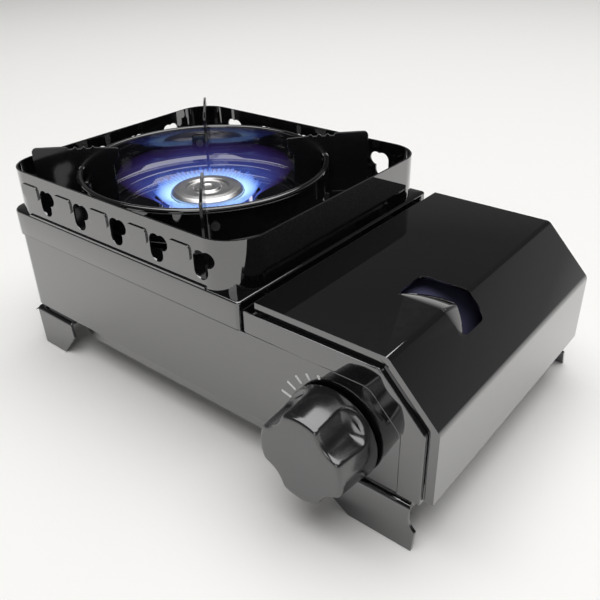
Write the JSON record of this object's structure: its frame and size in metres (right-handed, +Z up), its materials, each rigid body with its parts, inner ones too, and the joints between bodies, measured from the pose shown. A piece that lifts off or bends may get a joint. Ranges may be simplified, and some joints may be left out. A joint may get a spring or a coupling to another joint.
{
  "type": "butane cassette stove",
  "caption": "Tabletop gas stove: round burner in a lift-out drip pan with pot supports, square windshield, turning knob, and a hinged cover over its gas canister.",
  "frame": {"origin": "on the ground, under the middle of the overall box", "axes": "+X towards the canister side, +Y towards the rear, +Z up; the knob faces -Y"},
  "size_m": [0.286, 0.193, 0.122],
  "materials": {
    "black_enamel": "gloss",
    "pan_enamel": "gloss",
    "arm_enamel": "gloss",
    "bare_steel": "satin",
    "fastener_steel": "satin",
    "burner_casting": "satin",
    "cap_metal": "satin",
    "heat_strip_aluminium": "satin",
    "governor_casting": "cast",
    "jet_brass": "machined",
    "magnet_black": "matt",
    "knob_plastic": "satin",
    "igniter_plastic": "satin",
    "plunger_plastic": "satin",
    "electrode_glaze": "glazed",
    "lead_insulation": "matt",
    "canister_paint": "semi-gloss"
  },
  "bodies": {
    "stove": {"front_panel": "black_enamel", "side_shell": "black_enamel", "canister_frame_front": "black_enamel", "canister_frame_rear": "black_enamel", "partition": "bare_steel", "base_pan": "black_enamel", "foot_front_left": "black_enamel", "foot_front_right": "black_enamel", "foot_rear_left": "black_enamel", "foot_rear_right": "black_enamel", "foot_screws": "fastener_steel", "top_plate": "black_enamel", "skirt_screws": "fastener_steel", "windshield": "black_enamel", "burner_stand": "bare_steel", "mixing_tube": "bare_steel", "burner_body": "burner_casting", "burner_ring": "burner_casting", "burner_cap": "cap_metal", "electrode_ceramic": "electrode_glaze", "electrode_wire": "bare_steel", "electrode_bracket": "bare_steel", "ignition_lead": "lead_insulation", "heat_strip": "heat_strip_aluminium", "cradle_front": "bare_steel", "cradle_rear": "bare_steel", "bulkhead": "bare_steel", "governor_body": "governor_casting", "gland_nut": "fastener_steel", "magnet_ring": "magnet_black", "governor_screws": "fastener_steel", "gas_jet": "jet_brass", "hinge_pin": "bare_steel", "igniter_body": "igniter_plastic"},
    "knob": {"knob": "knob_plastic", "spindle": "bare_steel", "igniter_cam": "bare_steel"},
    "plunger": {"igniter_plunger": "plunger_plastic"},
    "cover": {"cover": "black_enamel"},
    "pan": {"drip_pan": "pan_enamel", "arm_rivets": "fastener_steel", "arm_right_rear": "arm_enamel", "arm_left_rear": "arm_enamel", "arm_left_front": "arm_enamel", "arm_right_front": "arm_enamel"},
    "canister": {"canister_shell": "canister_paint", "canister_valve": "bare_steel"}
  },
  "joints": [
    {"name": "knob_turn", "type": "hinge", "parent": "stove", "child": "knob", "pos_m": [0.094, -0.0835, 0.0405], "axis": [0, -1, 0], "range_deg": [-72, 14]},
    {"name": "plunger_slide", "type": "slide", "parent": "stove", "child": "plunger", "axis": [1, 0, 0], "range_m": [-0.00365, 0.00075]},
    {"name": "cover_hinge", "type": "hinge", "parent": "stove", "child": "cover", "pos_m": [0.0506, 0.01, 0.0842], "axis": [0, -1, 0], "range_deg": [0, 100]},
    {"name": "pan_lift", "type": "slide", "parent": "stove", "child": "pan", "axis": [0, 0, 1], "range_m": [0, 0.06]},
    {"name": "canister_slide", "type": "slide", "parent": "stove", "child": "canister", "axis": [0, 1, 0], "range_m": [0, 0.006]}
  ],
  "couplings": [
    {"joint": "plunger_slide", "follows": "knob_turn", "m_per_rad": 0.0028648}
  ]
}
